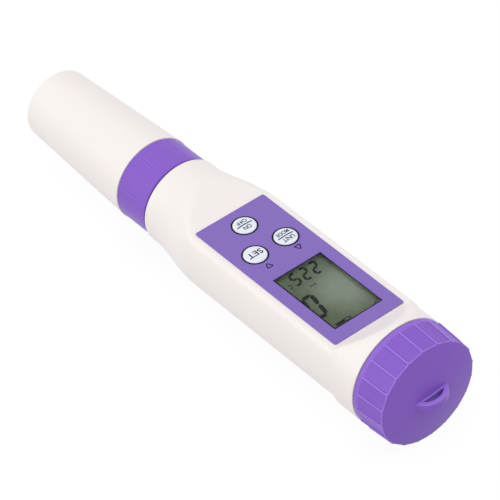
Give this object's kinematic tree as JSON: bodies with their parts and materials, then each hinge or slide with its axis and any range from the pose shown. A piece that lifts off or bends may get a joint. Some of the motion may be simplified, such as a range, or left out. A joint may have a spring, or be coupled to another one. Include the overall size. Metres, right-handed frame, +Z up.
{
  "type": "water test pen",
  "caption": "Round water test pen with a screw-in pH electrode under a pull-off cap, a flat display face with push buttons, and a faceted screw battery cap with a lanyard tab.",
  "frame": {"origin": "middle of the pen's length, on the surface it lies on, below its axis", "axes": "+X along the pen from the probe cap to the battery cap, +Z up out of the display face"},
  "size_m": [0.1906, 0.038, 0.0379],
  "materials": {
    "white_abs": "moulded warm white ABS, satin gloss",
    "violet_abs": "moulded violet ABS, satin gloss",
    "label_film": "printed polyester film, fine matte",
    "clear_window": "clear moulded acrylic, polished",
    "display_glass": "reflective liquid crystal glass, grey green",
    "inner_plastic": "moulded grey ABS",
    "board": "glass epoxy board with green solder mask",
    "chip": "black moulded epoxy",
    "button": "pale moulded silicone rubber cap",
    "brass": "plated brass",
    "steel": "nickel plated steel",
    "rubber": "black rubber",
    "probe_glass": "thin blown glass",
    "porous_plug": "porous plug"
  },
  "bodies": {
    "meter_body": {"housing": "white_abs", "label_overlay": "label_film", "display_window": "clear_window", "lcd_panel": "display_glass", "lcd_frame": "inner_plastic", "zebra_strips": "rubber", "main_board": "board", "controller_chip": "chip", "amplifier_chip": "chip", "power_switch": "chip", "mode_switch": "chip", "set_switch": "chip", "board_screws": "steel", "chassis": "inner_plastic", "inner_contact": "brass", "battery_spring": "steel", "battery_cell_1": "steel", "battery_cell_2": "steel", "battery_cell_3": "steel", "battery_cell_4": "steel", "return_strip": "brass", "probe_socket": "chip", "socket_contacts": "brass"},
    "electrode": {"electrode_holder": "white_abs", "plug_pins": "brass", "plug_seal": "rubber", "cap_seal": "rubber", "probe_guard": "white_abs", "glass_electrode": "probe_glass", "inner_wire": "steel", "reference_junction": "porous_plug", "temperature_pin": "steel"},
    "collar": {"locking_collar": "violet_abs"},
    "cap": {"probe_cap": "white_abs"},
    "lid_seal": {"battery_seal": "rubber"},
    "lid": {"battery_cap": "violet_abs", "contact_disc": "brass"},
    "power_key": {"power_button": "button", "power_plunger": "brass"},
    "mode_key": {"mode_button": "button", "mode_plunger": "brass"},
    "set_key": {"set_button": "button", "set_plunger": "brass"}
  },
  "joints": [
    {"name": "electrode_travel", "type": "slide", "parent": "meter_body", "child": "electrode", "axis": [-1, 0, 0], "range_m": [0, 0.006]},
    {"name": "collar_turn", "type": "hinge", "parent": "electrode", "child": "collar", "pos_m": [-0.0357, 0, 0.01894], "axis": [-1, 0, 0], "range_deg": [0, 1081]},
    {"name": "cap_pull", "type": "slide", "parent": "electrode", "child": "cap", "axis": [-1, 0, 0], "range_m": [0, 0.06]},
    {"name": "lid_travel", "type": "slide", "parent": "meter_body", "child": "lid_seal", "axis": [1, 0, 0], "range_m": [0, 0.006]},
    {"name": "lid_turn", "type": "hinge", "parent": "lid_seal", "child": "lid", "pos_m": [0.083, 0, 0.01894], "axis": [1, 0, 0], "range_deg": [0, 1081]},
    {"name": "power_press", "type": "slide", "parent": "meter_body", "child": "power_key", "axis": [0, 0, -1], "range_m": [0, 0.0004], "stiffness_N_per_m": 2500},
    {"name": "mode_press", "type": "slide", "parent": "meter_body", "child": "mode_key", "axis": [0, 0, -1], "range_m": [0, 0.0004], "stiffness_N_per_m": 2500},
    {"name": "set_press", "type": "slide", "parent": "meter_body", "child": "set_key", "axis": [0, 0, -1], "range_m": [0, 0.0004], "stiffness_N_per_m": 2500}
  ],
  "couplings": [
    {"joint": "collar_turn", "follows": "electrode_travel", "rad_per_m": 3141.6},
    {"joint": "lid_turn", "follows": "lid_travel", "rad_per_m": 3141.6}
  ]
}
